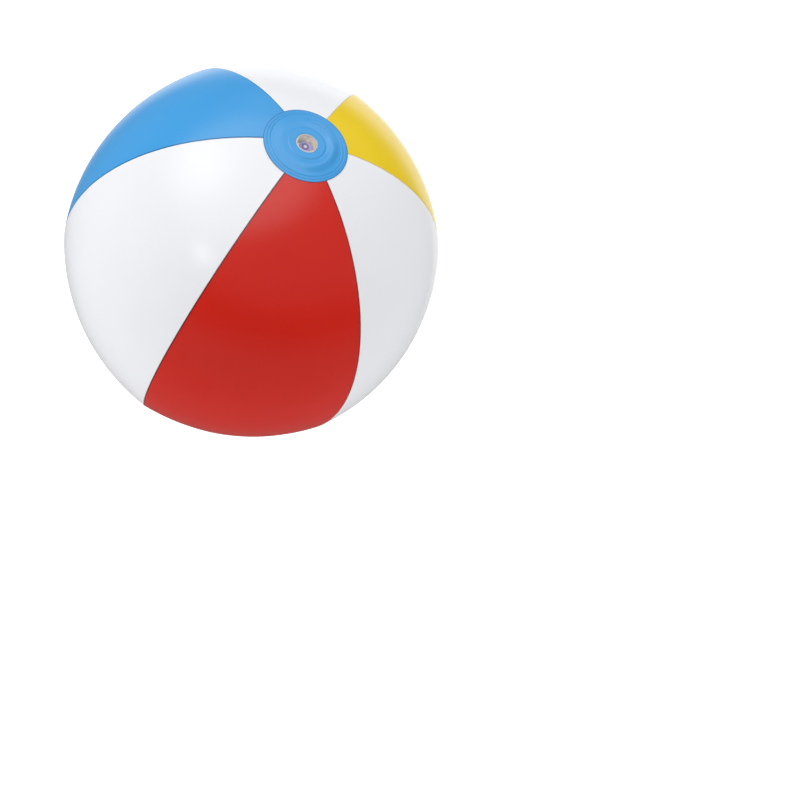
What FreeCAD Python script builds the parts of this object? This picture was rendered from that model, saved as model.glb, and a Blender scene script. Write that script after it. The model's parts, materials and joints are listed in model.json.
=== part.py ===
# Inflatable beach ball: six welded vinyl panels, two welded end discs and a push-in valve.
# Units are millimetres. +Z is the ball's pole axis with the valve on top; the origin is the
# centre of the flat circle on which the ball rests. The red panel faces -Y.
import FreeCAD, Part
import math
import os

import Sketcher
from FreeCAD import Placement, Rotation, Vector

# Anticlockwise from the panel that faces -Y.
PANELS = ("panel_red", "panel_white_right", "panel_yellow",
          "panel_white_back", "panel_blue", "panel_white_left")

DRIVING_SIZES = {
    # envelope
    "ball_radius": 180.0,         # outside of the inflated film
    "film": 0.25,                 # vinyl film thickness
    "weld_gap": 0.05,             # left between two films lapped in a weld
    "panel_count": len(PANELS),
    "seam_flange": 5.0,           # welded flange that stands inwards along each seam
    "neck_radius": 31.0,          # round hole that the panels leave at each pole
    "flange_stop": 2.0,           # seam flange ends this far short of the neck
    "disc_lap": 8.0,              # end discs reach this far beyond the neck
    "base_flat": 20.0,            # flat middle of the base end disc, on which the ball rests
    "valve_flat_margin": 1.5,     # flat middle of the valve end disc beyond the mounting ring
    # stem and collar
    "recess": 4.5,                # cap's top below the disc's face, with the valve pushed in
    "bore_radius": 3.7,
    "stem_wall": 1.2,
    "stem_length": 16.0,
    "mouth_chamfer": 0.3,
    "collar_depth": 11.0,         # from the cap's top
    "collar_reach": 1.6,
    "collar_wall": 0.8,
    "slip": 0.1,                  # clearance between pieces that move on each other
    # cap
    "cap_overhang": 0.7,          # lid beyond the stem
    "cap_wall": 1.4,
    "cap_round": 0.35,
    "dimple_radius": 1.9,
    "dimple_depth": 0.5,
    "plug_length": 4.0,
    "plug_gap": 0.15,             # plug to bore at the plug's root
    "plug_taper": 1.15,           # the plug's radius falls by this much at its tip
    "tab_reach": 1.9,             # finger tab beyond the lid
    "tab_width": 3.6,
    "tab_wall": 0.8,
    # strap that ties the cap to the stem
    "strap_width": 3.2,
    "strap_wall": 0.7,
    "strap_loop": 2.0,            # mean radius of the loop
    "strap_offset": 1.3,          # the loop's centre beyond the stem
    "strap_room": 0.35,           # between the loop and the well
    # mounting ring under the valve end disc, with a lip up through the disc's hole
    "ring_reach": 8.1,            # ring beyond its well
    "ring_wall": 0.8,
    "lip_wall": 0.9,
    "lip_gap": 0.2,               # between the lip and the disc
    "lip_height": 0.5,            # lip above the disc
    # skirt that ties the stem's collar to the ring
    "skirt_wall": 0.6,
    "skirt_turn": 3.0,            # outside radius of the bend at its foot
    "skirt_rim": 1.6,             # width of its welded rim under the ring
    # check flap
    "flap_lap": 0.9,              # flap beyond the bore
    "flap_wall": 0.4,
    "flap_ear_width": 3.0,
    "flap_ear_reach": 1.2,        # ear beyond the flap's edge
}


class Length:
    """A size that carries both its number and the spreadsheet expression that gives it."""

    def __init__(self, number, text):
        self.number = number
        self.text = text

    @staticmethod
    def of(other):
        return other if isinstance(other, Length) else Length(float(other), repr(float(other)))

    def joined(self, other, sign, number):
        return Length(number, "(%s %s %s)" % (self.text, sign, other.text))

    def __add__(self, other):
        other = Length.of(other)
        return self.joined(other, "+", self.number + other.number)

    def __sub__(self, other):
        other = Length.of(other)
        return self.joined(other, "-", self.number - other.number)

    def __mul__(self, other):
        other = Length.of(other)
        return self.joined(other, "*", self.number * other.number)

    def __truediv__(self, other):
        other = Length.of(other)
        return self.joined(other, "/", self.number / other.number)

    def __neg__(self):
        return Length(0.0, "0") - self


def leg(hypotenuse, other):
    """The second leg of a right triangle: the height of a sphere at a given radius."""
    number = math.sqrt(hypotenuse.number ** 2 - other.number ** 2)
    return Length(number, "sqrt(%s ^ 2 - %s ^ 2)" % (hypotenuse.text, other.text))


doc = FreeCAD.newDocument("beach_ball")


def make_sheet():
    sheet = doc.addObject("Spreadsheet::Sheet", "Sizes")
    for row, (alias, number) in enumerate(DRIVING_SIZES.items(), start=1):
        sheet.set("A%d" % row, alias.replace("_", " "))
        sheet.set("B%d" % row, repr(number))
        sheet.setAlias("B%d" % row, alias)
    doc.recompute()
    return {alias: Length(number, "Sizes." + alias) for alias, number in DRIVING_SIZES.items()}


size = make_sheet()
ZERO = Length(0.0, "0")
START, END, CENTRE = 1, 2, 3     # the point numbers of a sketch's edges


def make_body(label, base_z):
    body = doc.addObject("PartDesign::Body", label)
    body.Label = label
    body.setExpression("Placement.Base.z", base_z.text)
    return body


def origin_plane(body, role):
    return [feature for feature in body.Origin.OriginFeatures if feature.Role == role][0]


def make_sketch(body, name, role="XZ_Plane"):
    sketch = body.newObject("Sketcher::SketchObject", name)
    sketch.AttachmentSupport = [(origin_plane(body, role), "")]
    sketch.MapMode = "FlatFace"
    return sketch


def hold(sketch, kind, geometry, point, length):
    """Fixes one coordinate of a point to a spreadsheet size."""
    if abs(length.number) < 1e-9:
        on_axis = -2 if kind == "DistanceX" else -1
        sketch.addConstraint(Sketcher.Constraint("PointOnObject", geometry, point, on_axis))
        return
    index = sketch.addConstraint(Sketcher.Constraint(kind, -1, 1, geometry, point, length.number))
    sketch.setExpression("Constraints[%d]" % index, length.text)


def draw_outline(sketch, corners, arcs=None):
    """Draws a closed outline through the corners and ties it to the sizes. An entry in arcs
    makes the edge after that corner an arc: its centre, its radius, and +1 if it runs
    anticlockwise or -1 if it runs clockwise."""
    arcs = arcs or {}
    count = len(corners)
    points = [Vector(across.number, up.number, 0) for across, up in corners]
    edges, ends = [], []
    for index, start in enumerate(points):
        end = points[(index + 1) % count]
        if index in arcs:
            centre, radius, turn = arcs[index]
            middle = Vector(centre[0].number, centre[1].number, 0)
            first, last = (start, end) if turn > 0 else (end, start)
            angles = [math.atan2(point.y - middle.y, point.x - middle.x) for point in (first, last)]
            if angles[1] < angles[0]:
                angles[1] += 2 * math.pi
            circle = Part.Circle(middle, Vector(0, 0, 1), radius.number)
            edges.append(sketch.addGeometry(Part.ArcOfCircle(circle, *angles)))
            ends.append((START, END) if turn > 0 else (END, START))
        else:
            edges.append(sketch.addGeometry(Part.LineSegment(start, end)))
            ends.append((START, END))
    for index in range(count):
        after = (index + 1) % count
        sketch.addConstraint(Sketcher.Constraint(
            "Coincident", edges[index], ends[index][1], edges[after], ends[after][0]))
    for index, (centre, radius, _) in arcs.items():
        if centre[0] is ZERO and centre[1] is ZERO:
            sketch.addConstraint(Sketcher.Constraint("Coincident", edges[index], CENTRE, -1, START))
        else:
            hold(sketch, "DistanceX", edges[index], CENTRE, centre[0])
            hold(sketch, "DistanceY", edges[index], CENTRE, centre[1])
        number = sketch.addConstraint(Sketcher.Constraint("Radius", edges[index], radius.number))
        sketch.setExpression("Constraints[%d]" % number, radius.text)
    for index, (across, up) in enumerate(corners):
        arc = arcs.get(index) or arcs.get((index - 1) % count)
        # An arc's end needs one coordinate: across if it lies above or below the arc's centre,
        # and up if it lies beside it.
        beside = arc and abs(points[index].x - arc[0][0].number) > abs(points[index].y - arc[0][1].number)
        if not (arc and beside):
            hold(sketch, "DistanceX", edges[index], ends[index][0], across)
        if not arc or beside:
            hold(sketch, "DistanceY", edges[index], ends[index][0], up)


def revolve(body, sketch, angle=None):
    feature = body.newObject("PartDesign::Revolution", sketch.Name + "_turned")
    feature.Profile = sketch
    feature.ReferenceAxis = (sketch, ["V_Axis"])
    if angle is None:
        feature.Angle = 360.0
    else:
        feature.Midplane = True
        feature.setExpression("Angle", angle.text)
    return feature


def pad(body, sketch, length, symmetric=False):
    feature = body.newObject("PartDesign::Pad", sketch.Name + "_padded")
    feature.Profile = sketch
    feature.setExpression("Length", length.text)
    if symmetric:
        feature.SideType = "Symmetric"
    return feature


def round_edges(body, base, radius, wanted):
    """Fillets the edges of a feature that the test picks out."""
    doc.recompute()
    names = ["Edge%d" % (index + 1) for index, edge in enumerate(base.Shape.Edges) if wanted(edge)]
    if not names:
        raise RuntimeError("no edge to round on " + base.Name)
    feature = body.newObject("PartDesign::Fillet", base.Name + "_rounded")
    feature.Base = (base, names)
    feature.setExpression("Radius", radius.text)
    return feature


def circle_at(radius, height):
    """Test for a whole circle about the body's Z axis, of that radius and at that height."""
    def wanted(edge):
        curve = edge.Curve
        return (isinstance(curve, Part.Circle) and abs(curve.Radius - radius.number) < 1e-6
                and abs(curve.Center.z - height.number) < 1e-6)
    return wanted


def upright_at(across):
    """Test for a straight edge parallel to Z at that X."""
    def wanted(edge):
        box = edge.BoundBox
        return (isinstance(edge.Curve, Part.Line) and box.ZLength > 1e-3
                and abs(box.XMin - across.number) < 1e-6)
    return wanted


def band_outline(outer, inner, reach):
    """A crescent between two spheres about the ball's centre, from pole to pole."""
    middle = (ZERO, ZERO)
    corners = [(reach, -leg(outer, reach)), (reach, leg(outer, reach)),
               (reach, leg(inner, reach)), (reach, -leg(inner, reach))]
    return corners, {0: (middle, outer, 1), 2: (middle, inner, -1)}


panel_angle = Length.of(360) / size["panel_count"]
film_inside = size["ball_radius"] - size["film"]
disc_inside = size["ball_radius"] + size["weld_gap"]
disc_outside = disc_inside + size["film"]
disc_radius = size["neck_radius"] + size["disc_lap"]

stem_radius = size["bore_radius"] + size["stem_wall"]
cap_radius = stem_radius + size["cap_overhang"]
strap_centre = stem_radius + size["strap_offset"]
well_radius = strap_centre + size["strap_loop"] + size["strap_wall"] / 2 + size["strap_room"]
lip_radius = well_radius + size["lip_wall"]
valve_hole = lip_radius + size["lip_gap"]
ring_radius = well_radius + size["ring_reach"]
valve_flat = ring_radius + size["valve_flat_margin"]

# The ring and the skirt are drawn from the face of the valve end disc, and the pieces that
# move are drawn from the cap's top.
centre_height = leg(disc_outside, size["base_flat"])
valve_face = centre_height + leg(disc_outside, valve_flat)
cap_face = valve_face - size["recess"]
disc_wall = leg(disc_outside, valve_flat) - leg(disc_inside, valve_flat)
ring_top = -(disc_wall + size["weld_gap"])
ring_bottom = ring_top - size["ring_wall"]
stem_top = -(size["cap_wall"] + size["slip"])
stem_end = stem_top - size["stem_length"]
collar_top = -size["collar_depth"]
skirt_floor = collar_top - size["recess"]


def make_panel(label, azimuth):
    body = make_body(label, centre_height)
    body.Placement.Rotation = Rotation(Vector(0, 0, 1), azimuth.number)
    skin = make_sketch(body, label + "_skin")
    draw_outline(skin, *band_outline(size["ball_radius"], film_inside, size["neck_radius"]))
    revolve(body, skin, panel_angle)

    flange = make_sketch(body, label + "_flange")
    flange.AttachmentOffset = Placement(Vector(0, 0, 0), Rotation(Vector(0, 1, 0), 1))
    flange.setExpression("AttachmentOffset.Rotation.Angle", (panel_angle / 2).text)
    draw_outline(flange, *band_outline(
        size["ball_radius"] - size["film"] / 2, film_inside - size["seam_flange"],
        size["neck_radius"] + size["flange_stop"]))
    first_flange = pad(body, flange, size["film"])

    other_flange = body.newObject("PartDesign::Mirrored", label + "_other_flange")
    other_flange.Originals = [first_flange]
    other_flange.MirrorPlane = (origin_plane(body, "XZ_Plane"), [""])
    body.Tip = other_flange
    return body


def make_end_disc(label, hole, flat, faces_down=False):
    body = make_body(label, centre_height)
    if faces_down:
        body.Placement.Rotation = Rotation(Vector(1, 0, 0), 180)
    section = make_sketch(body, label + "_section")
    middle = (ZERO, ZERO)
    corners = [
        (hole, leg(disc_inside, flat)), (flat, leg(disc_inside, flat)),
        (disc_radius, leg(disc_inside, disc_radius)), (disc_radius, leg(disc_outside, disc_radius)),
        (flat, leg(disc_outside, flat)), (hole, leg(disc_outside, flat))]
    draw_outline(section, corners, {1: (middle, disc_inside, -1), 3: (middle, disc_outside, 1)})
    revolve(body, section)
    return body


def make_mounting_ring():
    body = make_body("valve_mounting_ring", valve_face)
    section = make_sketch(body, "ring_section")
    draw_outline(section, [
        (well_radius, ring_bottom), (ring_radius, ring_bottom), (ring_radius, ring_top),
        (lip_radius, ring_top), (lip_radius, size["lip_height"]), (well_radius, size["lip_height"])])
    revolve(body, section)
    return body


def make_skirt():
    body = make_body("valve_skirt", valve_face)
    section = make_sketch(body, "skirt_section")
    wall = size["skirt_wall"]
    turn = size["skirt_turn"]
    outside = well_radius + wall
    rim = well_radius + size["skirt_rim"]
    foot = stem_radius + size["slip"]
    bend = (outside - turn, skirt_floor + turn)
    draw_outline(section, [
        (well_radius, ring_bottom), (well_radius, bend[1]),
        (bend[0], skirt_floor + wall), (foot, skirt_floor + wall),
        (foot, skirt_floor), (bend[0], skirt_floor),
        (outside, bend[1]), (outside, ring_bottom - wall),
        (rim, ring_bottom - wall), (rim, ring_bottom)],
        {1: (bend, turn - wall, -1), 5: (bend, turn, 1)})
    revolve(body, section)
    return body


def make_stem():
    body = make_body("valve_stem", cap_face)
    section = make_sketch(body, "stem_section")
    bore = size["bore_radius"]
    chamfer = size["mouth_chamfer"]
    collar_radius = stem_radius + size["collar_reach"]
    collar_bottom = collar_top - size["collar_wall"]
    draw_outline(section, [
        (bore, stem_end), (stem_radius, stem_end), (stem_radius, collar_bottom),
        (collar_radius, collar_bottom), (collar_radius, collar_top), (stem_radius, collar_top),
        (stem_radius, stem_top), (bore + chamfer, stem_top), (bore, stem_top - chamfer)])
    turned = revolve(body, section)
    round_edges(body, turned, chamfer, circle_at(stem_radius, stem_top))
    return body


def make_check_flap():
    body = make_body("check_flap", cap_face + stem_end - size["slip"] / 2)
    disc = make_sketch(body, "flap_disc", "XY_Plane")
    radius = size["bore_radius"] + size["flap_lap"]
    edge = disc.addGeometry(Part.Circle(Vector(0, 0, 0), Vector(0, 0, 1), radius.number))
    disc.addConstraint(Sketcher.Constraint("Coincident", edge, CENTRE, -1, START))
    held = disc.addConstraint(Sketcher.Constraint("Radius", edge, radius.number))
    disc.setExpression("Constraints[%d]" % held, radius.text)
    disc_pad = pad(body, disc, size["flap_wall"])
    disc_pad.Reversed = True

    ear = make_sketch(body, "flap_ear", "XY_Plane")
    half = size["flap_ear_width"] / 2
    reach = radius + size["flap_ear_reach"]
    draw_outline(ear, [(ZERO, -half), (reach, -half), (reach, half), (ZERO, half)])
    ear_pad = pad(body, ear, size["flap_wall"])
    ear_pad.Reversed = True
    return body


def make_cap():
    body = make_body("valve_cap", cap_face)
    section = make_sketch(body, "cap_section")
    wall = size["cap_wall"]
    plug_root = size["bore_radius"] - size["plug_gap"]
    plug_tip = plug_root - size["plug_taper"]
    plug_end = -(wall + size["plug_length"])
    dimple = size["dimple_radius"]
    depth = size["dimple_depth"]
    draw_outline(section, [
        (ZERO, plug_end), (plug_tip, plug_end), (plug_root, -wall), (cap_radius, -wall),
        (cap_radius, ZERO), (dimple, ZERO), (dimple - depth, -depth), (ZERO, -depth)])
    turned = revolve(body, section)
    round_edges(body, turned, size["cap_round"], circle_at(cap_radius, ZERO))

    tab = make_sketch(body, "finger_tab")
    root = cap_radius - size["tab_wall"]
    end = cap_radius + size["tab_reach"]
    bottom = -(wall + size["tab_wall"]) / 2
    top = bottom + size["tab_wall"]
    draw_outline(tab, [(root, bottom), (end, bottom), (end, top), (root, top)])
    padded = pad(body, tab, size["tab_width"], symmetric=True)
    round_edges(body, padded, size["tab_width"] / 4, upright_at(end))
    return body


def make_strap():
    body = make_body("cap_strap", cap_face)
    side = make_sketch(body, "strap_side")
    half = size["strap_wall"] / 2
    loop = size["strap_loop"]
    high = -size["cap_wall"] / 2
    low = high - loop * 2
    centre = (-strap_centre, high - loop)
    at_cap = -(cap_radius + size["slip"] / 2)
    at_stem = -(stem_radius + size["slip"] / 2)
    draw_outline(side, [
        (at_cap, high + half), (centre[0], high + half), (centre[0], low - half),
        (at_stem, low - half), (at_stem, low + half), (centre[0], low + half),
        (centre[0], high - half), (at_cap, high - half)],
        {1: (centre, loop + half, 1), 5: (centre, loop - half, -1)})
    pad(body, side, size["strap_width"], symmetric=True)
    return body


def check(parts):
    for thing in doc.Objects:
        if "Invalid" in thing.State or "Error" in thing.State:
            raise RuntimeError("%s did not rebuild: %s" % (thing.Name, thing.State))
    for body in parts:
        if body.Shape.isNull() or not body.Shape.isValid() or len(body.Shape.Solids) != 1:
            raise RuntimeError(body.Label + " isn't one valid solid")


def main():
    parts = []
    for number, label in enumerate(PANELS):
        parts.append(make_panel(label, panel_angle * number - 90))
    parts.append(make_end_disc("valve_end_disc", valve_hole, valve_flat))
    parts.append(make_end_disc("base_end_disc", ZERO, size["base_flat"], faces_down=True))
    parts.append(make_mounting_ring())
    parts.append(make_skirt())
    parts.append(make_stem())
    parts.append(make_check_flap())
    parts.append(make_cap())
    parts.append(make_strap())
    doc.recompute()
    check(parts)
    os.makedirs("parts", exist_ok=True)
    for body in parts:
        body.Shape.exportStep("parts/%s.step" % body.Label)
        print("%-22s %10.1f mm3" % (body.Label, body.Shape.Volume))


main()
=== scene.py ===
import json
import math

import bpy
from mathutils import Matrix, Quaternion, Vector

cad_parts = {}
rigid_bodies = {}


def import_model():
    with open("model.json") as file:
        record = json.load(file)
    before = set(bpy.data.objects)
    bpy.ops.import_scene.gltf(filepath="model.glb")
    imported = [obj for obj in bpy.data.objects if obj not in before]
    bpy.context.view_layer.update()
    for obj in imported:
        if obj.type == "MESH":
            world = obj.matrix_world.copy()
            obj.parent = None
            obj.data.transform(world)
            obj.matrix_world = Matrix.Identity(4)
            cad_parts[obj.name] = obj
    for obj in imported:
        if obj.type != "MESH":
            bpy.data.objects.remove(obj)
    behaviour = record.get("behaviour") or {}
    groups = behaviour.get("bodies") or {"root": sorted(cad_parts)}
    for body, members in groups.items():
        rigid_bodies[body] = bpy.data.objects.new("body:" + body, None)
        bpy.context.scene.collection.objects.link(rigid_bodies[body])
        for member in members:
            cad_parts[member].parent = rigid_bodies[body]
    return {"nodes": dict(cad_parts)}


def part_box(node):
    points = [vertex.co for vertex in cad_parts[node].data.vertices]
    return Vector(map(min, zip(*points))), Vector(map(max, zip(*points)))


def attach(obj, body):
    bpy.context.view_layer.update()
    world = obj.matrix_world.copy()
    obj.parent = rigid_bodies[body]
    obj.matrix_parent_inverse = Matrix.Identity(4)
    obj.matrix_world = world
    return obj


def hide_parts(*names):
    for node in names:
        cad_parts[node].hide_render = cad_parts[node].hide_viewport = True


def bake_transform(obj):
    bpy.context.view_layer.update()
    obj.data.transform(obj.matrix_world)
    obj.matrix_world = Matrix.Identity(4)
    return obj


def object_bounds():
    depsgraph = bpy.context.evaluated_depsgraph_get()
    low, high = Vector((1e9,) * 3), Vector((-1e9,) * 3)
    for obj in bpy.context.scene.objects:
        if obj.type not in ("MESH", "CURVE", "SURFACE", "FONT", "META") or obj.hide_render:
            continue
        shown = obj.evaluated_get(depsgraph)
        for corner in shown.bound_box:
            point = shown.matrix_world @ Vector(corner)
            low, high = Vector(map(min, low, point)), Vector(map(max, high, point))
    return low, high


mm = 0.001

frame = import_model()
cadLow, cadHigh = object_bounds()
print("frame loaded:", len(frame["nodes"]), "pieces in CAD")


def direction(azimuth, elevation):
    a = math.radians(azimuth)
    e = math.radians(elevation)
    return Vector((math.sin(a) * math.cos(e), -math.cos(a) * math.cos(e), math.sin(e)))


def only(piece):
    # nothing but this piece selected, so an operator can't reach the CAD nodes
    if bpy.context.object and bpy.context.object.mode == "EDIT":
        bpy.ops.object.mode_set(mode="OBJECT")
    bpy.ops.object.select_all(action="DESELECT")
    piece.select_set(True)
    bpy.context.view_layer.objects.active = piece


def pick(piece, kind, wanted):
    # selects the verts, edges or faces for which wanted(centre) is true, and enters edit mode
    only(piece)
    bpy.ops.object.mode_set(mode="EDIT")
    bpy.ops.mesh.select_mode(type=kind)
    bpy.ops.mesh.select_all(action="DESELECT")
    bpy.ops.object.mode_set(mode="OBJECT")
    points = [v.co for v in piece.data.vertices]
    if kind == "VERT":
        for v in piece.data.vertices:
            v.select = wanted([v.co])
    elif kind == "EDGE":
        for e in piece.data.edges:
            e.select = wanted([points[i] for i in e.vertices])
    else:
        for f in piece.data.polygons:
            f.select = wanted([points[i] for i in f.vertices])
    bpy.ops.object.mode_set(mode="EDIT")


def addModifier(piece, kind, **settings):
    modifier = piece.modifiers.new(kind.lower(), kind)
    for name, value in settings.items():
        setattr(modifier, name, value)
    return modifier


def applyModifiers(piece):
    only(piece)
    for modifier in list(piece.modifiers):
        bpy.ops.object.modifier_apply(modifier=modifier.name)


def settle(piece, name):
    # the finished piece keeps its place in its mesh, with its object at the origin
    only(piece)
    bpy.ops.object.transform_apply(location=True, rotation=True, scale=True)
    piece.name = name
    piece.data.name = name


def turnRings(name, rings, segments):
    # a circle about the pole axis, extruded and scaled from ring to ring; radius 0 closes it
    radius, height = rings[0]
    bpy.ops.object.select_all(action="DESELECT")
    bpy.ops.mesh.primitive_circle_add(vertices=segments, radius=radius, location=(0, 0, height))
    piece = bpy.context.object
    bpy.ops.object.mode_set(mode="EDIT")
    bpy.ops.mesh.select_mode(type="EDGE")
    bpy.ops.mesh.select_all(action="SELECT")
    for nextRadius, nextHeight in rings[1:]:
        bpy.ops.mesh.extrude_region_move(
            TRANSFORM_OT_translate={"value": (0, 0, nextHeight - height)})
        if nextRadius == 0:
            bpy.ops.mesh.merge(type="CENTER")
        else:
            grow = nextRadius / radius
            bpy.ops.transform.resize(value=(grow, grow, 1), center_override=(0, 0, nextHeight))
        radius, height = nextRadius, nextHeight
    bpy.ops.mesh.select_all(action="SELECT")
    bpy.ops.mesh.remove_doubles(threshold=0.001 * mm)
    bpy.ops.mesh.normals_make_consistent(inside=False)
    bpy.ops.object.mode_set(mode="OBJECT")
    settle(piece, name)
    return piece


def markWeld(piece, distance):
    # how far each point is from the piece's welded edge, which the film's colour reads for its welded line
    # and painted shade
    away = piece.data.attributes.new("weldDistance", "FLOAT", "POINT")
    for v in piece.data.vertices:
        away.data[v.index].value = distance(v.co)


def finishPiece(piece, body, nodes, material, smoothAngle=40):
    only(piece)
    bpy.ops.object.shade_smooth_by_angle(angle=math.radians(smoothAngle))
    piece.data.materials.clear()
    piece.data.materials.append(material)
    if body:
        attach(piece, body)
    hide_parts(*nodes)


def linearColour(hexText):
    parts = [int(hexText[i:i + 2], 16) / 255 for i in (1, 3, 5)]
    return [c / 12.92 if c <= 0.04045 else ((c + 0.055) / 1.055) ** 2.4 for c in parts] + [1]


def addNode(tree, kind, settings=None, inputs=None):
    # inputs: a socket's name or number, then a plain value or the output socket that feeds it
    node = tree.nodes.new(kind)
    for name, value in (settings or {}).items():
        setattr(node, name, value)
    for key, value in (inputs or {}).items():
        if isinstance(value, bpy.types.NodeSocket):
            tree.links.new(value, node.inputs[key])
        else:
            node.inputs[key].default_value = value
    return node


def vinylFilm(name, colour, shade, seam, film):
    # Calendered PVC film: rolled smooth between hot rolls, so it is glossy, with a soft gloss
    # haze, faint streaks along the roll and slight unevenness in colour where it stretches.
    # Where two films are melted together at a seam, a thin line is mixed into the colour: partly the
    # double film letting less light out, partly painted shade of the crease where the films turn in, and
    # on the white film a faint painted highlight.
    material = bpy.data.materials.new(name)
    material.use_nodes = True
    tree = material.node_tree
    shader = tree.nodes["Principled BSDF"]
    place = addNode(tree, "ShaderNodeTexCoord")
    cloud = addNode(tree, "ShaderNodeTexNoise", inputs={
        "Vector": place.outputs["Object"], "Scale": 1 / (film["blotch"] * mm), "Detail": 3.0})
    tone = addNode(tree, "ShaderNodeMix", {"data_type": "RGBA"}, {
        0: cloud.outputs["Fac"], 6: linearColour(colour), 7: linearColour(shade)})
    away = addNode(tree, "ShaderNodeAttribute", {"attribute_name": "weldDistance"})
    # the seam colour near a weld: partly the double film, partly painted crease shade, and on the white
    # film a faint painted highlight
    line = addNode(tree, "ShaderNodeMapRange", {"interpolation_type": "SMOOTHSTEP"}, {
        "Value": away.outputs["Fac"], "From Min": film["weldLineAndShadeFull"] * mm,
        "From Max": film["weldLineAndShadeEnd"] * mm, "To Min": 1.0, "To Max": 0.0})
    weldLineAndShade = addNode(tree, "ShaderNodeMix", {"data_type": "RGBA"}, {
        0: line.outputs["Result"], 6: tone.outputs[2], 7: linearColour(seam)})
    streak = addNode(tree, "ShaderNodeMapping", inputs={
        "Vector": place.outputs["Object"], "Scale": (1.0, 1.0, film["streakLength"])})
    haze = addNode(tree, "ShaderNodeTexNoise", inputs={
        "Vector": streak.outputs["Vector"], "Scale": 1 / (film["streak"] * mm), "Detail": 2.0})
    gloss = addNode(tree, "ShaderNodeMapRange", inputs={
        "Value": haze.outputs["Fac"], "To Min": film["roughLow"], "To Max": film["roughHigh"]})
    peel = addNode(tree, "ShaderNodeTexNoise", inputs={
        "Vector": place.outputs["Object"], "Scale": 1 / (film["peel"] * mm), "Detail": 1.0})
    skin = addNode(tree, "ShaderNodeBump", inputs={
        "Height": peel.outputs["Fac"], "Strength": film["peelStrength"],
        "Distance": film["peelHeight"] * mm})
    tree.links.new(weldLineAndShade.outputs[2], shader.inputs["Base Color"])
    tree.links.new(gloss.outputs["Result"], shader.inputs["Roughness"])
    tree.links.new(skin.outputs["Normal"], shader.inputs["Normal"])
    shader.inputs["IOR"].default_value = film["ior"]
    return material


def clearVinyl(name, colour, clear):
    # Injection moulded soft PVC without filler: light goes through it and scatters inside, so it
    # is slightly milky, and its skin is glossy with fine flow marks.
    material = bpy.data.materials.new(name)
    material.use_nodes = True
    tree = material.node_tree
    shader = tree.nodes["Principled BSDF"]
    place = addNode(tree, "ShaderNodeTexCoord")
    flow = addNode(tree, "ShaderNodeTexNoise", inputs={
        "Vector": place.outputs["Object"], "Scale": 1 / (clear["flow"] * mm), "Detail": 2.0})
    gloss = addNode(tree, "ShaderNodeMapRange", inputs={
        "Value": flow.outputs["Fac"], "To Min": clear["roughLow"], "To Max": clear["roughHigh"]})
    skin = addNode(tree, "ShaderNodeBump", inputs={
        "Height": flow.outputs["Fac"], "Strength": clear["flowStrength"],
        "Distance": clear["flowHeight"] * mm})
    tree.links.new(gloss.outputs["Result"], shader.inputs["Roughness"])
    tree.links.new(skin.outputs["Normal"], shader.inputs["Normal"])
    shader.inputs["Base Color"].default_value = linearColour(colour)
    shader.inputs["IOR"].default_value = clear["ior"]
    shader.inputs["Transmission Weight"].default_value = clear["transmission"]
    shader.inputs["Subsurface Weight"].default_value = clear["milk"]
    shader.inputs["Subsurface Radius"].default_value = (1.0, 1.0, 1.0)
    shader.inputs["Subsurface Scale"].default_value = clear["milkDepth"] * mm
    return material


def tintByThicknessWithPaintedHighlight(material, tints, reach):
    # a tinted moulding looks darker where it is thicker, and its pale middle is partly the thin wall over
    # the hollow, partly a painted highlight in the dimple: colours by mm from the pole axis
    tree = material.node_tree
    place = addNode(tree, "ShaderNodeTexCoord")
    level = addNode(tree, "ShaderNodeVectorMath", {"operation": "MULTIPLY"}, {
        0: place.outputs["Object"], 1: (1, 1, 0)})
    fromAxis = addNode(tree, "ShaderNodeVectorMath", {"operation": "LENGTH"}, {
        0: level.outputs["Vector"]})
    share = addNode(tree, "ShaderNodeMapRange", inputs={
        "Value": fromAxis.outputs["Value"], "From Max": reach * mm})
    ramp = addNode(tree, "ShaderNodeValToRGB", inputs={"Fac": share.outputs["Result"]})
    stops = ramp.color_ramp.elements
    stops.remove(stops[1])
    stops[0].position = tints[0][0] / reach
    stops[0].color = linearColour(tints[0][1])
    for at, colour in tints[1:]:
        stops.new(at / reach).color = linearColour(colour)
    tree.links.new(ramp.outputs["Color"], tree.nodes["Principled BSDF"].inputs["Base Color"])


film = {
    "ior": 1.5,
    "roughLow": 0.2, "roughHigh": 0.28,
    "blotch": 60.0,                                     # mm
    "streak": 3.0, "streakLength": 0.1,                 # mm across, and the stretch along the pole axis
    "peel": 2.5, "peelHeight": 0.01, "peelStrength": 0.4,   # mm; drawn coarse enough to show
    "weldLineAndShadeFull": 0.6, "weldLineAndShadeEnd": 1.5,                    # mm from the weld, for the seam-colour line that is partly painted crease shade
}
clear = {
    "ior": 1.52, "transmission": 0.15, "milk": 0.6, "milkDepth": 2.0,
    "roughLow": 0.08, "roughHigh": 0.2,
    "flow": 2.0, "flowHeight": 0.08, "flowStrength": 0.8,   # mm
}

# colour, the tint of its paler patches, and the welded line, which is partly painted crease shade (on the
# white film a faint painted highlight)
redVinyl = vinylFilm("redCalenderedVinyl", "#D32112", "#CD2012", "#65101A", film)
whiteVinyl = vinylFilm("whiteCalenderedVinyl", "#F2F3F6", "#EFF0F5", "#F4F5F7", film)
blueVinyl = vinylFilm("blueCalenderedVinyl", "#46A2E2", "#419DDF", "#1B6BA6", film)
yellowVinyl = vinylFilm("yellowCalenderedVinyl", "#F0CF08", "#ECCB08", "#DCC35A", film)
clearMoulding = clearVinyl("clearMouldedVinyl", "#F8F0E3", clear)
violetMoulding = clearVinyl("violetTintedMouldedVinyl", "#B4AAD6", clear)
# paler over the cap's hollow plug, partly the thin wall and partly a painted highlight in the dimple;
# darker over the plug's thick wall
tintByThicknessWithPaintedHighlight(violetMoulding, [(1.3, "#E2E2F6"), (1.9, "#7A6EA3"), (3.3, "#887CB2"), (4.1, "#B4AAD6")], 8.0)
print("materials made")


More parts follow.
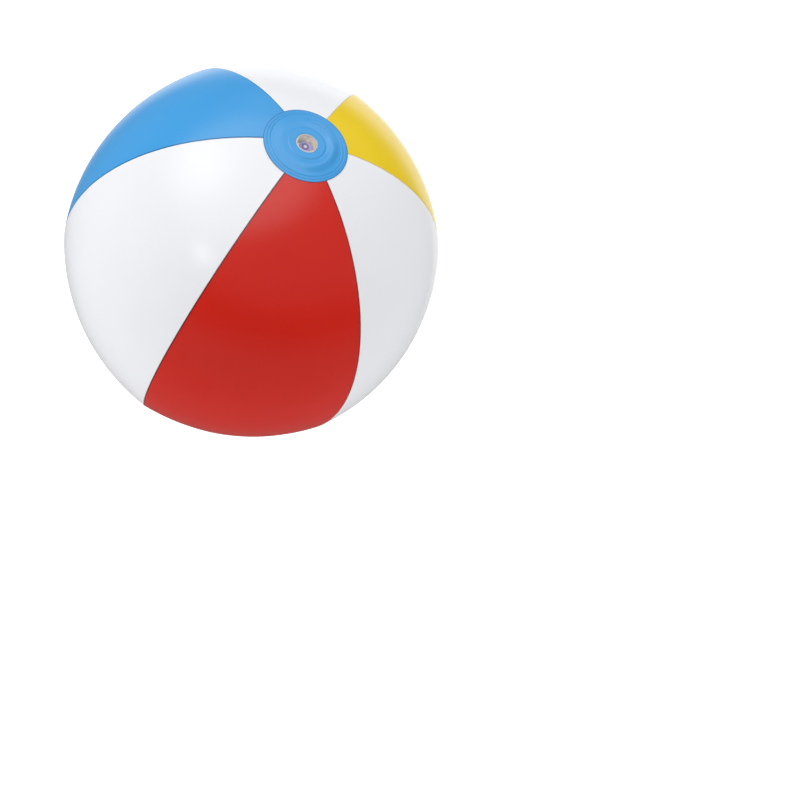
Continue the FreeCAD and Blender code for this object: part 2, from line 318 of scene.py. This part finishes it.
# The ball is six flat gores, rounded out by the air.
ball = {
    "radius": 180.0, "rows": 240, "columns": 40,
    "roundness": 0.88,                    # 1 is a sphere; less leaves corners at the seams
    "neckRadius": 30.0,
    "flange": 5.0, "filmWall": 0.25,
    "seamRound": 0.8,                     # how the film turns in at a seam
    "discRadius": 180.3, "flat": 20.0,    # the end discs' outside, and the flat it rests on
    "slack": 0.5, "slackSize": 70.0,      # broad unevenness of the film
    "pucker": 0.25, "puckerSize": 9.0, "puckerReach": 12.0,
}
ballCentre = Vector((0, 0, cadLow.z + math.sqrt(ball["discRadius"] ** 2 - ball["flat"] ** 2) * mm))
# azimuth of each panel's middle, anticlockwise from the one that faces -Y
panels = {
    "panel_red": (-90, "red_vinyl", redVinyl),
    "panel_white_right": (-30, "white_vinyl", whiteVinyl),
    "panel_yellow": (30, "yellow_vinyl", yellowVinyl),
    "panel_white_back": (90, "white_vinyl", whiteVinyl),
    "panel_blue": (150, "blue_vinyl", blueVinyl),
    "panel_white_left": (-150, "white_vinyl", whiteVinyl),
}


def seamAngle(point):
    # degrees round the pole axis from the nearest seam
    return abs((math.degrees(math.atan2(point.y, point.x)) + 30) % 60 - 30)


def seamDistance(point):
    return math.radians(seamAngle(point)) * math.hypot(point.x, point.y)


def inflateGores():
    bpy.ops.object.select_all(action="DESELECT")
    bpy.ops.mesh.primitive_uv_sphere_add(
        segments=6, ring_count=ball["rows"], radius=ball["radius"] * mm,
        rotation=(0, 0, math.radians(30)))
    gores = bpy.context.object
    settle(gores, "gores")
    flat = 1e-6

    pick(gores, "EDGE", lambda ends: abs(ends[0].z - ends[1].z) < flat)
    bpy.ops.mesh.subdivide(number_cuts=ball["columns"] - 1)

    pick(gores, "VERT", lambda at: math.hypot(at[0].x, at[0].y) < ball["neckRadius"] * mm)
    bpy.ops.mesh.delete(type="VERT")
    bpy.ops.object.mode_set(mode="OBJECT")

    addModifier(gores, "CAST", factor=ball["roundness"], size=ball["radius"] * mm,
                use_radius_as_size=False)
    applyModifiers(gores)

    # the film is a little uneven all over, and puckers along the seams
    nearSeam = gores.vertex_groups.new(name="nearSeam")
    for v in gores.data.vertices:
        fade = max(0.0, 1 - seamDistance(v.co) / (ball["puckerReach"] * mm))
        nearSeam.add([v.index], fade * fade, "REPLACE")
    broad = bpy.data.textures.new("filmSlack", "CLOUDS")
    broad.noise_scale = ball["slackSize"] * mm
    fine = bpy.data.textures.new("seamPucker", "CLOUDS")
    fine.noise_scale = ball["puckerSize"] * mm
    addModifier(gores, "DISPLACE", texture=broad, strength=ball["slack"] * mm, mid_level=0.5)
    addModifier(gores, "DISPLACE", texture=fine, strength=ball["pucker"] * mm, mid_level=0.5,
                vertex_group="nearSeam")
    applyModifiers(gores)
    gores.location = ballCentre
    settle(gores, "gores")
    return gores


def cutPanel(gores, azimuth):
    middle = math.radians(azimuth)

    def inPanel(corners):
        centre = sum(corners, Vector()) / len(corners)
        turn = math.atan2(centre.y, centre.x) - middle
        return math.cos(turn) > math.cos(math.radians(30))

    pick(gores, "FACE", inPanel)
    before = set(bpy.data.objects)
    bpy.ops.mesh.separate(type="SELECTED")
    bpy.ops.object.mode_set(mode="OBJECT")
    return (set(bpy.data.objects) - before).pop()


def foldSeams(panel):
    # both long edges turn in to the flange that is welded to the neighbour's
    onSeam = 0.01      # degrees
    pick(panel, "EDGE", lambda ends: all(seamAngle(end) < onSeam for end in ends))
    bpy.ops.mesh.extrude_region_move()
    inwards = 1 - ball["flange"] / ball["radius"]
    bpy.ops.transform.resize(value=(inwards, inwards, inwards), center_override=ballCentre)
    bpy.ops.object.mode_set(mode="OBJECT")
    addModifier(panel, "BEVEL", width=ball["seamRound"] * mm, segments=4, limit_method="ANGLE",
                angle_limit=math.radians(50))
    addModifier(panel, "SOLIDIFY", thickness=ball["filmWall"] * mm, offset=-1.0)
    applyModifiers(panel)


gores = inflateGores()
for node, (azimuth, slot, material) in panels.items():
    panel = cutPanel(gores, azimuth)
    settle(panel, node.replace("panel", "film"))
    foldSeams(panel)
    markWeld(panel, seamDistance)
    finishPiece(panel, "envelope", [node], material)
bpy.data.objects.remove(gores)
print("six panels inflated")


# The end discs lap over the necks and are welded down with ribbed rings.
disc = {
    "radius": 39.0, "segments": 360, "step": 0.35,
    "ridges": (33.4, 36.1), "ridgeHeight": 0.42, "ridgeHalf": 0.6,
    "rimLift": 0.05, "rimFrom": 37.9, "rimShadeLineOffset": 0.45,
    "wall": 0.3,
    "flatRings": (0.75, 0.5, 0.25),                     # of the base disc's flat, as a share of it
    "hatchFrom": 33.0, "hatchTo": 38.6, "hatchSoft": 0.6, "hatchCount": 90, "hatchHeight": 0.05,
}
valveDisc = {
    "hole": 10.0, "flat": 18.5, "ring": 17.0, "ringLift": 0.6, "ringSoft": 1.0,
    "bulgeFrom": 17.8, "bulgeTo": 30.5, "bulge": 2.9, "bulgeLeast": 0.15,   # fullest towards +X
}


def bump(value, start, end):
    # 0 outside start and end, 1 half way, smooth at both
    t = (value - start) / (end - start)
    return math.sin(math.pi * t) ** 2 if 0 < t < 1 else 0.0


def step(value, start, end):
    t = min(1.0, max(0.0, (value - start) / (end - start)))
    return t * t * (3 - 2 * t)


def discHeight(radius, flat):
    # height above the ball's centre, mm
    on = max(radius, flat)
    height = math.sqrt(ball["discRadius"] ** 2 - on ** 2)
    for ridge in disc["ridges"]:
        height += disc["ridgeHeight"] * bump(radius, ridge - disc["ridgeHalf"], ridge + disc["ridgeHalf"])
    return height + disc["rimLift"] * step(radius, disc["rimFrom"], disc["radius"])


def polar(point):
    # radius in mm and angle about the pole axis
    return math.hypot(point.x, point.y) / mm, math.atan2(point.y, point.x)


def weldHatch(piece):
    # the welding tool's fine radial hatch
    soft = disc["hatchSoft"]
    for v in piece.data.vertices:
        radius, turn = polar(v.co)
        band = step(radius, disc["hatchFrom"], disc["hatchFrom"] + soft) * (
            1 - step(radius, disc["hatchTo"] - soft, disc["hatchTo"]))
        v.co.z += disc["hatchHeight"] * mm * band * math.sin(disc["hatchCount"] * turn)


def bulgeDisc(piece):
    # the air lifts the film round the valve's ring, more on one side than on the other
    least = valveDisc["bulgeLeast"]
    for v in piece.data.vertices:
        radius, turn = polar(v.co)
        share = least + (1 - least) * (0.5 + 0.5 * math.cos(turn)) ** 2
        v.co.z += valveDisc["bulge"] * mm * share * bump(
            radius, valveDisc["bulgeFrom"], valveDisc["bulgeTo"])


def rimDistance(point):
    # set off a little, so that the disc's line is thinner than a seam's; that line is partly the welded
    # edge, partly painted shade where the disc's edge laps onto the panels
    return (disc["radius"] + disc["rimShadeLineOffset"]) * mm - math.hypot(point.x, point.y)


def finishDisc(piece, node):
    weldHatch(piece)
    addModifier(piece, "SOLIDIFY", thickness=disc["wall"] * mm, offset=-1.0)
    applyModifiers(piece)
    # the darker line round the rim is partly the welded edge, partly painted shade where the disc's edge
    # laps onto the panels
    markWeld(piece, rimDistance)
    finishPiece(piece, "envelope", [node], blueVinyl)


def makeValveDisc():
    rings = []
    count = round((disc["radius"] - valveDisc["hole"]) / disc["step"])
    half = valveDisc["ringSoft"] / 2
    for i in range(count + 1):
        radius = valveDisc["hole"] + (disc["radius"] - valveDisc["hole"]) * i / count
        lift = valveDisc["ringLift"] * (
            1 - step(radius, valveDisc["ring"] - half, valveDisc["ring"] + half))
        lift -= valveDisc["ringLift"] * (1 - step(radius, valveDisc["hole"], valveDisc["hole"] + half))
        rings.append((radius * mm, ballCentre.z + (discHeight(radius, valveDisc["flat"]) + lift) * mm))
    piece = turnRings("valveDisc", rings, disc["segments"])
    bulgeDisc(piece)
    finishDisc(piece, "valve_end_disc")


def makeBaseDisc():
    rings = [(disc["radius"] * mm, ballCentre.z - discHeight(disc["radius"], ball["flat"]) * mm)]
    count = round((disc["radius"] - ball["flat"]) / disc["step"])
    for i in range(1, count + 1):
        radius = disc["radius"] - (disc["radius"] - ball["flat"]) * i / count
        rings.append((radius * mm, ballCentre.z - discHeight(radius, ball["flat"]) * mm))
    flat = rings[-1][1]
    rings += [(ball["flat"] * share * mm, flat) for share in disc["flatRings"]]
    rings.append((0, flat))
    finishDisc(turnRings("baseDisc", rings, disc["segments"]), "base_end_disc")


makeValveDisc()
makeBaseDisc()
print("end discs welded on")


# The valve, moulded in soft clear vinyl. It rests pushed in, below the face of its disc.
def turnProfile(name, profile, top, segments, bevel):
    # a closed outline of radius and depth below top, in mm, turned about the pole axis
    rings = [(radius * mm, top - depth * mm) for radius, depth in profile]
    piece = turnRings(name, rings, segments)
    if bevel:
        addModifier(piece, "BEVEL", width=bevel * mm, segments=3, limit_method="ANGLE",
                    angle_limit=math.radians(50))
        applyModifiers(piece)
    return piece


ring = {"well": 8.9, "lipWall": 0.9, "wall": 0.8, "bevel": 0.38, "segments": 128}


def makeRing():
    low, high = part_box("valve_mounting_ring")
    lip = ring["well"] + ring["lipWall"]
    deep = (high.z - low.z) / mm
    reach = high.x / mm
    flange = deep - ring["wall"]
    profile = [(ring["well"], 0), (ring["well"], deep), (reach, deep), (reach, flange),
               (lip, flange), (lip, 0), (ring["well"], 0)]
    piece = turnProfile("mountingRing", profile, high.z, ring["segments"], ring["bevel"])
    finishPiece(piece, "envelope", ["valve_mounting_ring"], clearMoulding)


skirt = {"wall": 0.6, "turn": 3.0, "foot": 5.0, "rim": 10.5, "taper": 0.35,
         "folds": (3.2, 6.4), "foldDepth": 0.25, "foldHalf": 0.7, "rows": 28, "turnSteps": 8,
         "segments": 128}


def makeSkirt():
    # a well that hangs from the ring, with two fold lines where it turns over
    low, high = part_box("valve_skirt")
    wall = skirt["wall"]
    turn = skirt["turn"]
    deep = (high.z - low.z) / mm
    rows = skirt["rows"]
    turnSteps = skirt["turnSteps"]

    def wallAt(depth):
        lean = skirt["taper"] * depth / (deep - turn)
        fold = sum(bump(depth, at - skirt["foldHalf"], at + skirt["foldHalf"]) for at in skirt["folds"])
        return ring["well"] - lean - skirt["foldDepth"] * fold

    def bend(radius, quarter):
        # the rounded foot, about the same middle for both faces
        middle = ring["well"] + wall - turn - skirt["taper"]
        angle = math.pi / 2 * quarter
        return middle + radius * math.cos(angle), deep - turn + radius * math.sin(angle)

    depths = [(deep - turn) * i / rows for i in range(rows + 1)]
    quarters = [i / turnSteps for i in range(1, turnSteps + 1)]
    inside = [(wallAt(depth), depth) for depth in depths] + [bend(turn - wall, q) for q in quarters]
    outside = [bend(turn, q) for q in reversed(quarters)]
    outside += [(wallAt(depth) + wall, depth) for depth in reversed(depths) if depth > wall]
    rim = [(ring["well"] + wall, wall), (skirt["rim"], wall), (skirt["rim"], 0)]
    profile = inside + [(skirt["foot"], deep - wall), (skirt["foot"], deep)] + outside + rim
    piece = turnProfile("valveSkirt", profile + [profile[0]], high.z, skirt["segments"], 0)
    finishPiece(piece, None, ["valve_skirt"], clearMoulding)
    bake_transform(piece)


stem = {"bore": 3.7, "radius": 4.9, "collar": 6.5, "collarWall": 0.8, "length": 16.0,
        "mouth": 0.3, "ribs": (3.2, 5.6, 8.0), "ribHeight": 0.22, "ribHalf": 0.45,
        "collarDepth": 9.5, "bevel": 0.12, "segments": 96}    # depths from the stem's top


def makeStem():
    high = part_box("valve_stem")[1]
    mouth = stem["mouth"]
    collar = stem["collarDepth"]
    under = collar + stem["collarWall"]
    outside = [(stem["radius"], mouth)]
    for rib in stem["ribs"]:
        for i in range(-3, 4):
            depth = rib + stem["ribHalf"] * i / 3
            outside.append((stem["radius"] + stem["ribHeight"] * bump(
                depth, rib - stem["ribHalf"], rib + stem["ribHalf"]), depth))
    outside += [(stem["radius"], collar), (stem["collar"], collar), (stem["collar"], under),
                (stem["radius"], under), (stem["radius"], stem["length"])]
    profile = [(stem["bore"] + mouth, 0), (stem["radius"] - mouth, 0)] + outside
    profile += [(stem["bore"], stem["length"]), (stem["bore"], mouth), (stem["bore"] + mouth, 0)]
    piece = turnProfile("valveStem", profile, high.z, stem["segments"], stem["bevel"])
    finishPiece(piece, "valve_stem", ["valve_stem"], clearMoulding)


cap = {
    "lid": 5.6, "wall": 1.4,
    "rim": 0.32, "rimWidth": 0.55, "rimDrop": 0.2, "rimSlope": (-0.3, 0.25),   # about its inner edge
    "dimple": 1.9, "dimpleDepth": 0.35, "dimpleLip": 0.2,
    "gate": 0.55, "gateHeight": 0.16,                       # the moulding point in the dimple
    "plugRoot": 3.55, "plugTip": 2.4, "plugLength": 4.0, "plugRows": 8,
    "plugHollow": 1.5, "hollowTaper": 0.8, "hollowSide": 0.8, "hollowTop": 0.6,
    "bead": 0.1, "beadFrom": 0.8, "beadTo": 2.2,
    "tabTop": 0.3, "tabBottom": 1.1, "tabWidth": 3.6, "tabRidges": 4, "tabRidge": 1.3,
    "tabNarrow": 0.8, "tabThin": 0.9,                       # its last two ridges, as a share
    "segments": 120,
}


def makeCap():
    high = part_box("valve_cap")[1]
    lid = cap["lid"]
    wall = cap["wall"]
    dip = cap["rimDrop"]
    tip = wall + cap["plugLength"]
    soft = [i / 4 * math.pi / 2 for i in range(5)]
    corner = [(lid - cap["rim"] * (1 - math.sin(a)), cap["rim"] * (1 - math.cos(a))) for a in soft]
    dimple = [(cap["dimple"] * math.sin(a), dip + cap["dimpleDepth"] * math.cos(a)) for a in soft]
    gate = [(cap["gate"] * math.sin(a), dip + cap["dimpleDepth"] - cap["gateHeight"] * math.cos(a))
            for a in soft]
    inner = lid - cap["rim"] - cap["rimWidth"]
    top = [(0, gate[0][1])] + gate[1:] + [point for point in dimple if point[0] > cap["gate"]]
    slopeIn, slopeOut = cap["rimSlope"]
    top += [(cap["dimple"] + cap["dimpleLip"], dip), (inner + slopeIn, dip),
            (inner, dip / 2), (inner + slopeOut, 0)]
    side = [(lid, cap["tabTop"] + 0.1), (lid, cap["tabBottom"]), (lid, wall)]
    taper = (cap["plugRoot"] - cap["plugTip"]) / cap["plugLength"]
    plug = []
    for i in range(cap["plugRows"] + 1):
        depth = cap["plugLength"] * i / cap["plugRows"]
        bead = cap["bead"] * bump(depth, cap["beadFrom"], cap["beadTo"])
        plug.append((cap["plugRoot"] - taper * depth + bead, wall + depth))
    hollow = [(cap["plugHollow"], tip), (cap["plugHollow"] * cap["hollowTaper"], wall + cap["hollowSide"]),
              (0, wall + cap["hollowTop"])]
    profile = top + corner + side + plug + hollow
    # turned from the gate's edge round to the plug's hollow, and the gate is closed after
    rings = [(radius * mm, high.z - depth * mm) for radius, depth in profile[1:]]
    piece = turnRings("valveCap", rings, cap["segments"])
    closeMiddle(piece, Vector((0, 0, high.z - profile[0][1] * mm)), gate[1][0] * mm)
    addTab(piece, high)
    finishPiece(piece, "valve_cap", ["valve_cap"], violetMoulding)


def closeMiddle(piece, centre, radius):
    # fills the small hole at the top's middle with a fan
    def onEdge(ends):
        return all(abs(math.hypot(p.x, p.y) - radius) < 1e-6 and p.z > centre.z - mm for p in ends)
    pick(piece, "EDGE", onEdge)
    bpy.ops.mesh.extrude_region_move()
    bpy.ops.mesh.merge(type="CENTER")
    bpy.ops.mesh.select_all(action="SELECT")
    bpy.ops.mesh.normals_make_consistent(inside=False)
    bpy.ops.object.mode_set(mode="OBJECT")


def addTab(piece, high):
    # the finger tab is pulled out of the lid's side, and grows and shrinks into grip ridges
    half = cap["tabWidth"] / 2 * mm
    upper = high.z - cap["tabTop"] * mm
    lower = high.z - (cap["tabBottom"] + 0.01) * mm
    end = high.x
    root = math.sqrt(cap["lid"] ** 2 - (cap["tabWidth"] / 2) ** 2) * mm

    def onTab(corners):
        c = sum(corners, Vector()) / len(corners)
        return c.x > root - 0.1 * mm and abs(c.y) < half and lower < c.z < upper
    pick(piece, "FACE", onTab)
    steps = cap["tabRidges"] * 2
    mid = (upper + lower) / 2
    for i in range(1, steps + 1):
        bpy.ops.mesh.extrude_region_move()
        x = cap["lid"] * mm + (end - cap["lid"] * mm) * i / steps
        bpy.ops.transform.resize(value=(0, 1, 1), center_override=(0, 0, mid))
        bpy.ops.transform.translate(value=(x, 0, 0))
        thick = cap["tabRidge"] if i % 2 else 1 / cap["tabRidge"]
        if i > 1:
            bpy.ops.transform.resize(value=(1, 1, thick), center_override=(0, 0, mid))
        if i > steps - 2:
            bpy.ops.transform.resize(
                value=(1, cap["tabNarrow"], cap["tabThin"]), center_override=(0, 0, mid))
    bpy.ops.object.mode_set(mode="OBJECT")


strap = {"width": 3.2, "wall": 0.7, "loop": 2.0, "centre": -6.2, "atCap": -5.65, "atStem": -4.95,
         "high": 0.7, "waist": 0.8, "waistFrom": 0.6, "turns": 14, "bevel": 0.12}


def makeStrap():
    # a short flat band, looped back under the cap as a living hinge, and thinner at its waist
    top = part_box("valve_cap")[1].z
    high = top - strap["high"] * mm
    centre = (strap["centre"] * mm, 0, high - strap["loop"] * mm)
    bpy.ops.object.select_all(action="DESELECT")
    bpy.ops.mesh.primitive_plane_add(
        size=1 * mm, location=(strap["atCap"] * mm, 0, high), rotation=(0, math.radians(90), 0))
    piece = bpy.context.object
    settle(piece, "capStrap")
    pick(piece, "FACE", lambda corners: True)
    bpy.ops.transform.resize(value=(1, strap["width"], strap["wall"]), center_override=(0, 0, high))
    bpy.ops.mesh.extrude_region_move(
        TRANSFORM_OT_translate={"value": ((strap["centre"] - strap["atCap"]) * mm, 0, 0)})
    bpy.ops.mesh.spin(steps=strap["turns"], angle=math.pi, center=centre, axis=(0, 1, 0))
    bpy.ops.mesh.extrude_region_move(
        TRANSFORM_OT_translate={"value": ((strap["atStem"] - strap["centre"]) * mm, 0, 0)})
    bpy.ops.mesh.select_all(action="SELECT")
    bpy.ops.mesh.remove_doubles(threshold=0.001 * mm)
    bpy.ops.mesh.normals_make_consistent(inside=False)
    waistAt = (strap["centre"] - strap["loop"] * strap["waistFrom"]) * mm
    pick(piece, "VERT", lambda at: at[0].x < waistAt)
    bpy.ops.transform.resize(value=(1, strap["waist"], 1), center_override=centre)
    bpy.ops.object.mode_set(mode="OBJECT")
    addModifier(piece, "BEVEL", width=strap["bevel"] * mm, segments=2, limit_method="ANGLE",
                angle_limit=math.radians(50))
    applyModifiers(piece)
    finishPiece(piece, None, ["cap_strap"], clearMoulding)
    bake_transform(piece)


flap = {"radius": 4.6, "earWidth": 3.0, "bevel": 0.1, "bead": 0.14, "beadMiddle": 0.45, "segments": 96}


def makeFlap():
    low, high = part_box("check_flap")
    deep = (high.z - low.z) / mm
    radius = flap["radius"]
    bead = flap["bead"]
    middle = flap["beadMiddle"]
    profile = [(0, 0), (radius - 2 * middle, 0), (radius - middle, -bead), (radius, 0),
               (radius, deep), (0, deep)]
    rings = [(r * mm, high.z - (bead + depth) * mm) for r, depth in profile[1:]]
    piece = turnRings("checkFlap", rings, flap["segments"])
    closeMiddle(piece, Vector((0, 0, high.z - bead * mm)), (radius - 2 * middle) * mm)
    half = flap["earWidth"] / 2 * mm
    root = math.sqrt(radius ** 2 - (flap["earWidth"] / 2) ** 2) * mm

    def onEar(corners):
        c = sum(corners, Vector()) / len(corners)
        outermost = all(abs(math.hypot(p.x, p.y) - radius * mm) < 1e-6 for p in corners)
        return outermost and c.x > root - 0.1 * mm and abs(c.y) < half
    pick(piece, "FACE", onEar)
    bpy.ops.mesh.extrude_region_move()
    bpy.ops.transform.resize(value=(0, 1, 1), center_override=(0, 0, 0))
    bpy.ops.transform.translate(value=(high.x, 0, 0))
    bpy.ops.object.mode_set(mode="OBJECT")
    addModifier(piece, "BEVEL", width=flap["bevel"] * mm, segments=2, limit_method="ANGLE",
                angle_limit=math.radians(50))
    applyModifiers(piece)
    finishPiece(piece, "check_flap", ["check_flap"], clearMoulding)


makeRing()
makeSkirt()
makeStem()
makeCap()
makeStrap()
makeFlap()
print("valve moulded")


# The studio: a broad soft light overhead, a bright backdrop behind the ball, a dim room on the
# side that it is looked at from, and a floor that glows as a light table does.
floor = {"size": 30.0, "colour": "#BEBEBE", "glow": 1.03, "rough": 0.9, "gap": 0.2}
studio = {
    "overhead": 1.37, "overheadAzimuth": -126.0, "overheadElevation": 63.4,
    "overheadFull": 33.0, "overheadEnd": 46.0,       # degrees from its middle
    "core": 1.6, "coreAzimuth": -114.0, "coreElevation": 46.0,       # the lamp behind its cloth cover
    "coreFull": 8.0, "coreEnd": 18.0,
    "dim": 0.4, "dimAzimuth": -21.5, "dimElevation": 53.5, "dimEnd": 90.0,
    "backdrop": 2.15, "backdropFull": 120.0,          # degrees from the middle of the dim side
    "low": 0.07, "lowFrom": 8.0, "lowTo": 37.0,       # its share low down, and where it brightens
    "table": 0.95, "tableAzimuth": 158.5, "tableElevation": -30.0,    # the lit table behind
    "tableFull": 15.0, "tableEnd": 37.0,
}
softbox = {"azimuth": -54.2, "elevation": 34.7, "distance": 1.5, "width": 0.24, "height": 0.16,
           "power": 0.8, "shines": True}
fill = {"azimuth": 75.0, "elevation": 20.0, "distance": 2.0, "width": 1.6, "height": 1.2,
        "power": 9.0, "shines": False}
insideGlow = {"power": 1.3, "radius": 40.0}         # what the pale film lets into the ball
camera = {"azimuth": -21.5, "elevation": 53.5, "roll": 27.3, "distance": 1.638,
          "lens": 76.5, "shiftX": 0.186, "shiftY": -0.186}


def makeFloor():
    bpy.ops.object.select_all(action="DESELECT")
    bpy.ops.mesh.primitive_plane_add(size=floor["size"], location=(0, 0, cadLow.z - floor["gap"] * mm))
    sheet = bpy.context.object
    settle(sheet, "floor")
    paper = bpy.data.materials.new("whiteGlowingFloor")
    paper.use_nodes = True
    tree = paper.node_tree
    shader = tree.nodes["Principled BSDF"]
    shader.inputs["Base Color"].default_value = linearColour(floor["colour"])
    shader.inputs["Roughness"].default_value = floor["rough"]
    shader.inputs["Specular IOR Level"].default_value = 0.0
    shader.inputs["Emission Color"].default_value = (1, 1, 1, 1)
    shader.inputs["Emission Strength"].default_value = floor["glow"]
    sheet.data.materials.append(paper)
    sheet.visible_glossy = False


def glowAround(tree, sight, azimuth, elevation, full, end, inside, outside):
    # a soft edged round patch of light, or of dark, full and end degrees from its middle
    facing = addNode(tree, "ShaderNodeVectorMath", {"operation": "DOT_PRODUCT"}, {
        0: sight, 1: direction(azimuth, elevation)})
    return addNode(tree, "ShaderNodeMapRange", {"interpolation_type": "SMOOTHSTEP"}, {
        "Value": facing.outputs["Value"],
        "From Min": math.cos(math.radians(end)), "From Max": math.cos(math.radians(full)),
        "To Min": outside, "To Max": inside}).outputs["Result"]


def makeSky():
    world = bpy.data.worlds.new("studio")
    bpy.context.scene.world = world
    world.use_nodes = True
    tree = world.node_tree
    sight = addNode(tree, "ShaderNodeTexCoord").outputs["Generated"]
    overhead = glowAround(tree, sight, studio["overheadAzimuth"], studio["overheadElevation"],
                          studio["overheadFull"], studio["overheadEnd"], studio["overhead"], 0.0)
    walls = glowAround(tree, sight, studio["dimAzimuth"], studio["dimElevation"],
                       studio["dimEnd"], studio["backdropFull"], studio["dim"], studio["backdrop"])
    height = addNode(tree, "ShaderNodeSeparateXYZ", inputs={0: sight})
    above = addNode(tree, "ShaderNodeMapRange", {"interpolation_type": "SMOOTHSTEP"}, {
        "Value": height.outputs["Z"], "From Min": math.sin(math.radians(studio["lowFrom"])),
        "From Max": math.sin(math.radians(studio["lowTo"])), "To Min": studio["low"], "To Max": 1.0})
    core = glowAround(tree, sight, studio["coreAzimuth"], studio["coreElevation"],
                      studio["coreFull"], studio["coreEnd"], studio["core"], 0.0)
    table = glowAround(tree, sight, studio["tableAzimuth"], studio["tableElevation"],
                       studio["tableFull"], studio["tableEnd"], studio["table"], 0.0)
    room = addNode(tree, "ShaderNodeMath", {"operation": "MULTIPLY_ADD"}, {
        0: walls, 1: above.outputs["Result"], 2: overhead})
    lamps = addNode(tree, "ShaderNodeMath", {"operation": "ADD"}, {0: core, 1: table})
    light = addNode(tree, "ShaderNodeMath", {"operation": "ADD"}, {
        0: room.outputs["Value"], 1: lamps.outputs["Value"]})
    tree.links.new(light.outputs["Value"], tree.nodes["Background"].inputs["Strength"])
    tree.nodes["Background"].inputs["Color"].default_value = (1, 1, 1, 1)


def aimed(towards, roll=0.0):
    return (-towards).to_track_quat("-Z", "Y") @ Quaternion((0, 0, 1), math.radians(roll))


def makeLamp(name, lamp):
    bpy.ops.object.light_add(type="AREA")
    box = bpy.context.object
    box.name = name
    towards = direction(lamp["azimuth"], lamp["elevation"])
    box.location = ballCentre + towards * lamp["distance"]
    box.rotation_mode = "QUATERNION"
    box.rotation_quaternion = aimed(towards)
    box.data.shape = "ELLIPSE"
    box.data.size = lamp["width"]
    box.data.size_y = lamp["height"]
    box.data.energy = lamp["power"]
    box.visible_glossy = lamp["shines"]


def makeInsideGlow():
    # shut in by the film, so it only shows through the clear valve
    bpy.ops.object.light_add(type="POINT", location=ballCentre)
    glow = bpy.context.object
    glow.name = "insideGlow"
    glow.data.energy = insideGlow["power"]
    glow.data.shadow_soft_size = insideGlow["radius"] * mm


def makeCamera():
    bpy.ops.object.camera_add()
    lens = bpy.context.object
    lens.name = "camera"
    towards = direction(camera["azimuth"], camera["elevation"])
    lens.location = ballCentre + towards * camera["distance"]
    lens.rotation_mode = "QUATERNION"
    lens.rotation_quaternion = aimed(towards, camera["roll"])
    lens.data.lens = camera["lens"]
    lens.data.shift_x = camera["shiftX"]
    lens.data.shift_y = camera["shiftY"]
    bpy.context.scene.camera = lens


makeFloor()
makeSky()
makeLamp("softbox", softbox)
makeLamp("fill", fill)
makeInsideGlow()
makeCamera()
bpy.context.scene.view_settings.view_transform = "Standard"
print("stage, light and camera set")
